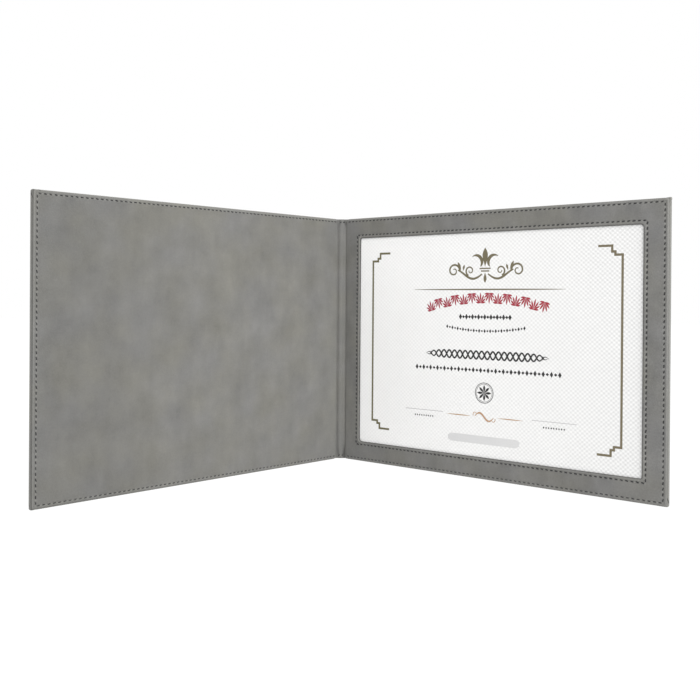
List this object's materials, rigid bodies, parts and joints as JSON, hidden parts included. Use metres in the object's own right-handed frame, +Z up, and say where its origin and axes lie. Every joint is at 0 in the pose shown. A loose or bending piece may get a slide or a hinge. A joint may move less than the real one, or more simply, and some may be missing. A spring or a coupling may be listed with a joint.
{
  "type": "certificate holder",
  "caption": "Two-panel grey leatherette certificate holder that opens like a book, with a stitched window frame over a landscape certificate.",
  "frame": {"origin": "centre of the bounding box in plan, on the surface that the holder stands on", "axes": "+Z up, +X along the rear panel from the spine to its fore edge, -Y out of the window towards the viewer"},
  "size_m": [0.3638, 0.328, 0.24],
  "materials": {
    "leatherette": "soft matte",
    "lining_leatherette": "soft matte",
    "greyboard": "uncoated board",
    "card": "uncoated card",
    "certificate_paper": "linen-embossed paper",
    "thread": "waxed thread"
  },
  "bodies": {
    "rear_panel": {"rear_cover_skin": "leatherette", "rear_board": "greyboard", "pocket_liner": "card", "rear_lining_flap": "lining_leatherette", "frame_backing": "card", "window_frame": "leatherette", "rear_edge_stitching": "thread", "rear_edge_bobbin_stitching": "thread", "window_stitching": "thread"},
    "spine": {"spine_skin": "leatherette", "spine_strip": "greyboard", "spine_lining": "lining_leatherette", "spine_tail_stitching": "thread", "spine_head_stitching": "thread", "spine_tail_bobbin_stitching": "thread", "spine_head_bobbin_stitching": "thread"},
    "front_panel": {"front_cover_skin": "leatherette", "front_board": "greyboard", "front_filler": "card", "front_lining": "lining_leatherette", "front_edge_stitching": "thread", "front_edge_bobbin_stitching": "thread"},
    "certificate": {"certificate": "certificate_paper"}
  },
  "joints": [
    {"name": "rear_crease", "type": "hinge", "parent": "rear_panel", "child": "spine", "pos_m": [-0.14008, 0.16306, 0.12], "axis": [0, 0, 1], "range_deg": [-42, 48]},
    {"name": "front_crease", "type": "hinge", "parent": "spine", "child": "front_panel", "pos_m": [-0.14752, 0.15637, 0.12], "axis": [0, 0, 1], "range_deg": [-42, 48]},
    {"name": "certificate_slide", "type": "slide", "parent": "rear_panel", "child": "certificate", "axis": [-1, 0, 0], "range_m": [0, 0.0095]}
  ]
}
